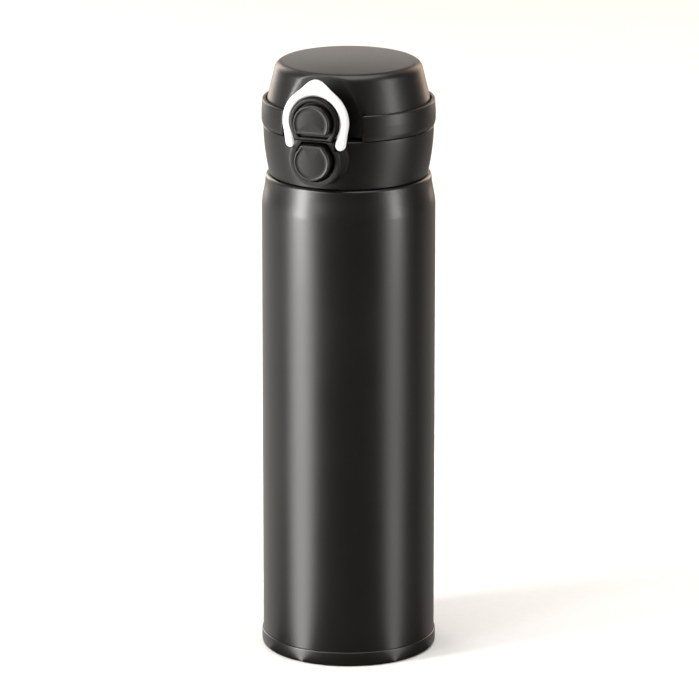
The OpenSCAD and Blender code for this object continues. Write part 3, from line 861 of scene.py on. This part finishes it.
foot, inner, outer = ring_edges()
half_ring = [(Vector(i), Vector(o), math.sqrt(max(0.12, 1 - ((k + 1) / 8 - 1) ** 2)))
             for k, (i, o) in enumerate(foot)]
half_ring += [(i, o, 1.0) for i, o in list(zip(even(inner, 60), even(outer, 60)))[1:]]
mirrored = [(Vector((-i.x, i.y)), Vector((-o.x, o.y)), s) for i, o, s in reversed(half_ring[:-1])]
ring_loops = []
ring_mid, ring_half_t = (RING_FRONT + RING_BACK) / 2, (RING_FRONT - RING_BACK) / 2
for i, o, squeeze in half_ring + mirrored:
    centre, reach = (i + o) / 2, (o - i) / 2
    loop = []
    for k in range(28):
        a = 2 * math.pi * (k + 0.5) / 28
        c, s = math.cos(a), math.sin(a)
        u = math.copysign(abs(c) ** 0.62, c)
        d = math.copysign(abs(s) ** 0.62, s)
        p = centre + reach * u
        loop.append(to_front(p.x, p.y, ring_mid + d * ring_half_t * squeeze))
    ring_loops.append(loop)
lock_ring = new_object("safety_ring", *strip(ring_loops))
dress(lock_ring, "lock_ring", "white_plastic", "lock_ring")

bpy.context.view_layer.update()

# ---- stage, camera and light ---------------------------------------------------------------------

floor_mesh = bpy.data.meshes.new("floor")
SIZE, BACK = 6.0, 3.0
sweep = [(-SIZE, 0.0)] + [(BACK + 1.5 * math.sin(a), 1.5 - 1.5 * math.cos(a)) for a in
                          (math.pi / 2 * k / 16 for k in range(17))] + [(BACK + 1.5, 5.0)]
AZIMUTH, ELEVATION = math.radians(20), math.radians(15.75)
view_dir = Vector((math.sin(AZIMUTH) * math.cos(ELEVATION), -math.cos(AZIMUTH) * math.cos(ELEVATION),
                   math.sin(ELEVATION)))
away = Vector((-math.sin(AZIMUTH), math.cos(AZIMUTH), 0))
right = Vector((math.cos(AZIMUTH), math.sin(AZIMUTH), 0))
floor_verts = [away * d + right * side + Vector((0, 0, z)) for d, z in sweep for side in (-SIZE, SIZE)]
floor_faces = [(2 * i, 2 * i + 1, 2 * i + 3, 2 * i + 2) for i in range(len(sweep) - 1)]
floor_mesh.from_pydata(floor_verts, [], floor_faces)
floor_mesh.shade_smooth()
floor = bpy.data.objects.new("floor", floor_mesh)
bpy.context.scene.collection.objects.link(floor)
floor_mat, floor_tree, floor_shader = material("floor_paper", Roughness=0.9, Specular_IOR_Level=0.1)
paper = noise(floor_tree, coordinates(floor_tree), 300, 3)
floor_tree.links.new(tint(floor_tree, paper, (0.80, 0.795, 0.785), (0.82, 0.815, 0.805)),
                     floor_shader.inputs["Base Color"])
# Reflections of the floor are held down to a painted dark sheet with painted glowing strips on it, so that
# the dark satin faces keep their contrast and get their highlights
path = add(floor_tree, "ShaderNodeLightPath")


def glow_strip_mask(bearing, half_width, soft):
    """1 on a strip of floor that fans out from the flask at a bearing from the camera, 0 elsewhere. The
    strip glows only in reflections and paints a highlight on the flask.
    """
    near, far = AZIMUTH + math.radians(bearing / 2), AZIMUTH + math.radians(bearing) - math.pi / 2
    shift = add(floor_tree, "ShaderNodeVectorMath", operation="SUBTRACT")
    shift.inputs[1].default_value = (BODY_R * MM * math.sin(near), -BODY_R * MM * math.cos(near), 0)
    floor_tree.links.new(coordinates(floor_tree), shift.inputs[0])
    turn = add(floor_tree, "ShaderNodeVectorRotate", rotation_type="Z_AXIS")
    turn.inputs["Angle"].default_value = -far
    floor_tree.links.new(shift.outputs[0], turn.inputs["Vector"])
    split = add(floor_tree, "ShaderNodeSeparateXYZ")
    floor_tree.links.new(turn.outputs[0], split.inputs[0])
    angle = add(floor_tree, "ShaderNodeMath", operation="ARCTAN2")
    floor_tree.links.new(split.outputs["Y"], angle.inputs[0])
    floor_tree.links.new(split.outputs["X"], angle.inputs[1])
    size = add(floor_tree, "ShaderNodeMath", operation="ABSOLUTE")
    floor_tree.links.new(angle.outputs[0], size.inputs[0])
    return spread(floor_tree, size.outputs[0], 1, 0,
                  math.radians(half_width), math.radians(half_width + soft))


# Glowing strips painted on the floor, seen only in reflections, which paint the flask's highlights: bearing,
# half width and soft edge in degrees, and strength of each strip
GLOW_STRIPS = [(-66, 8, 16, 6.6), (64, 5, 14, 2.8), (-136, 26, 20, 0.7), (142, 18, 20, 0.3)]
total = None
for bearing, half_width, soft, strength in GLOW_STRIPS:
    scaled = add(floor_tree, "ShaderNodeMath", operation="MULTIPLY")
    scaled.inputs[1].default_value = strength
    floor_tree.links.new(glow_strip_mask(bearing, half_width, soft), scaled.inputs[0])
    if total:
        joined = add(floor_tree, "ShaderNodeMath", operation="ADD")
        floor_tree.links.new(total, joined.inputs[0])
        floor_tree.links.new(scaled.outputs[0], joined.inputs[1])
        total = joined.outputs[0]
    else:
        total = scaled.outputs[0]
# The strips glow though they are no lamps: painted highlights in the flask's reflections
glow_strips = add(floor_tree, "ShaderNodeEmission", Color=(1, 0.985, 0.96, 1))
floor_tree.links.new(total, glow_strips.inputs["Strength"])
# Painted shade: in reflections the floor is a dark sheet, not the pale paper
painted_dark_reflection = add(floor_tree, "ShaderNodeBsdfDiffuse", Color=(0.09, 0.08, 0.07, 1))
painted_reflection = add(floor_tree, "ShaderNodeAddShader")
floor_tree.links.new(painted_dark_reflection.outputs["BSDF"], painted_reflection.inputs[0])
floor_tree.links.new(glow_strips.outputs["Emission"], painted_reflection.inputs[1])
blend = add(floor_tree, "ShaderNodeMixShader")
floor_tree.links.new(path.outputs["Is Glossy Ray"], blend.inputs[0])
floor_tree.links.new(floor_shader.outputs["BSDF"], blend.inputs[1])
floor_tree.links.new(painted_reflection.outputs["Shader"], blend.inputs[2])
floor_tree.links.new(blend.outputs["Shader"], floor_tree.nodes["Material Output"].inputs["Surface"])
floor_mesh.materials.append(floor_mat)

DISTANCE, AIM = 2.043, Vector((0, 0, 0.112))
camera_data = bpy.data.cameras.new("camera")
camera_data.lens = 278.8
camera_data.sensor_width = 36
camera_data.shift_x, camera_data.shift_y = 0.0012, 0.0115
camera = bpy.data.objects.new("camera", camera_data)
bpy.context.scene.collection.objects.link(camera)
camera.location = AIM + view_dir * DISTANCE
camera.rotation_euler = (-view_dir).to_track_quat("-Z", "Y").to_euler()
bpy.context.scene.camera = camera


def softbox(name, bearing, distance, height, size, power, colour, aim_z=0.11):
    """An area light at a bearing from the camera's direction, positive to the right."""
    light = bpy.data.lights.new(name, "AREA")
    light.shape = "RECTANGLE"
    light.size, light.size_y = size
    light.energy = power
    light.color = colour
    obj = bpy.data.objects.new(name, light)
    bpy.context.scene.collection.objects.link(obj)
    a = AZIMUTH + math.radians(bearing)
    obj.location = (distance * math.sin(a), -distance * math.cos(a), height)
    obj.rotation_euler = (Vector((0, 0, aim_z)) - obj.location).to_track_quat("-Z", "Y").to_euler()
    return obj


softbox("key_left", -66, 1.1, 0.30, (0.28, 1.2), 24, (1.0, 0.99, 0.97))
softbox("fill_right", 64, 1.2, 0.30, (0.22, 1.2), 10, (1.0, 0.98, 0.95))
softbox("rim_left", -150, 1.4, 0.35, (0.5, 1.2), 10, (1.0, 0.86, 0.74))
softbox("rim_right", 150, 1.4, 0.35, (0.5, 1.2), 7, (1.0, 0.74, 0.54))
softbox("lid_left", -44, 1.1, 0.56, (0.2, 0.26), 2.6, (1.0, 0.99, 0.97), 0.21)
softbox("overhead", 0, 0.05, 1.9, (1.6, 1.6), 34, (1.0, 0.995, 0.985), 0)
softbox("top_back", 178, 1.5, 0.50, (0.5, 0.2), 1.0, (1.0, 0.93, 0.84))

world = bpy.data.worlds.new("studio")
world.use_nodes = True
world.node_tree.nodes["Background"].inputs["Color"].default_value = (0.9, 0.88, 0.86, 1)
world.node_tree.nodes["Background"].inputs["Strength"].default_value = 0.16
bpy.context.scene.world = world
bpy.context.scene.view_settings.view_transform = "Standard"
